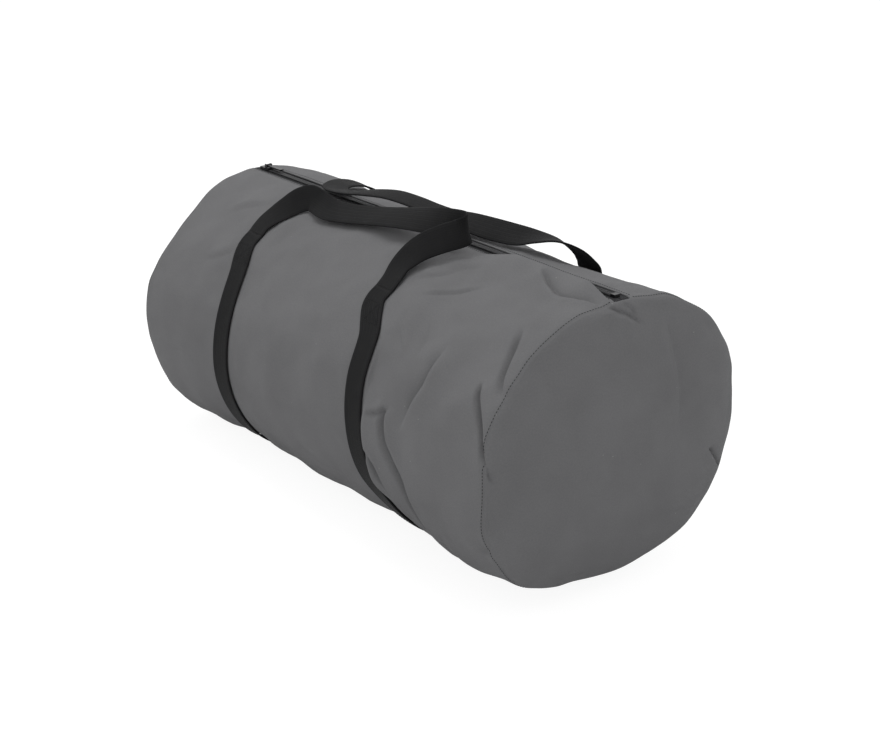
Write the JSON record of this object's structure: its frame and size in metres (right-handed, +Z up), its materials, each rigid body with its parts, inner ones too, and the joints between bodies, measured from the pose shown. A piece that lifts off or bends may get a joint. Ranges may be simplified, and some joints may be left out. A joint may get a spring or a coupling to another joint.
{
  "type": "packed double sleeping bag",
  "caption": "Double sleeping bag rolled up in its round canvas carry duffel, lying on its side, with a zip along the top, webbing bands and slack carry handles",
  "frame": {"origin": "On the floor, under the middle of the bag's length and width.", "axes": "+X runs along the bag towards the round end seen in the picture, -Y points to the bag's front, the side that the picture shows, and +Z is up, with the zip on top."},
  "size_m": [0.7196, 0.3294, 0.3541],
  "materials": {
    "grey_canvas": "matt dark grey woven canvas",
    "black_webbing": "black woven webbing with a slight sheen",
    "black_zip_tape": "black woven tape",
    "black_zip_coil": "black nylon coil",
    "black_zip_metal": "black lacquered zinc",
    "black_thread": "black sewing thread",
    "quilt_shell_canvas": "dull green-grey cotton shell",
    "quilt_filling": "off-white fibre filling",
    "quilt_lining": "brushed tan cotton lining"
  },
  "bodies": {
    "bag": {"body_panel": "grey_canvas", "near_end_panel": "grey_canvas", "far_end_panel": "grey_canvas", "near_seam_binding": "black_zip_tape", "far_seam_binding": "black_zip_tape", "zip_tape_front": "black_zip_tape", "zip_tape_rear": "black_zip_tape", "zip_coil_front": "black_zip_coil", "zip_coil_rear": "black_zip_coil", "zip_stop_near": "black_zip_metal", "zip_stop_far": "black_zip_metal", "left_band": "black_webbing", "right_band": "black_webbing", "front_left_stitch_box": "black_thread", "front_right_stitch_box": "black_thread", "rear_left_stitch_box": "black_thread", "rear_right_stitch_box": "black_thread", "bottom_quilt_shell": "quilt_shell_canvas", "bottom_quilt_filling": "quilt_filling", "bottom_quilt_lining": "quilt_lining", "top_quilt_lining": "quilt_lining", "top_quilt_filling": "quilt_filling", "top_quilt_shell": "quilt_shell_canvas", "left_side_zip": "black_zip_tape", "right_side_zip": "black_zip_tape", "left_side_zip_slider": "black_zip_metal", "right_side_zip_slider": "black_zip_metal", "left_roll_tie": "black_webbing", "right_roll_tie": "black_webbing"},
    "slider": {"zip_slider": "black_zip_metal"},
    "pull_tab": {"zip_pull_tab": "black_zip_metal"},
    "front_handle": {"front_handle": "black_webbing"},
    "rear_handle": {"rear_handle": "black_webbing"}
  },
  "joints": [
    {"name": "zip_slide", "type": "slide", "parent": "bag", "child": "slider", "axis": [1, 0, 0], "range_m": [0, 0.6]},
    {"name": "pull_tab_swing", "type": "hinge", "parent": "slider", "child": "pull_tab", "pos_m": [-0.3147, 0, 0.3143], "axis": [0, -1, 0], "range_deg": [0, 180]},
    {"name": "front_handle_swing", "type": "hinge", "parent": "bag", "child": "front_handle", "pos_m": [0, -0.10121, 0.27455], "axis": [1, 0, 0], "range_deg": [0, 150]},
    {"name": "rear_handle_swing", "type": "hinge", "parent": "bag", "child": "rear_handle", "pos_m": [0, 0.11001, 0.26717], "axis": [-1, 0, 0], "range_deg": [0, 150]}
  ]
}
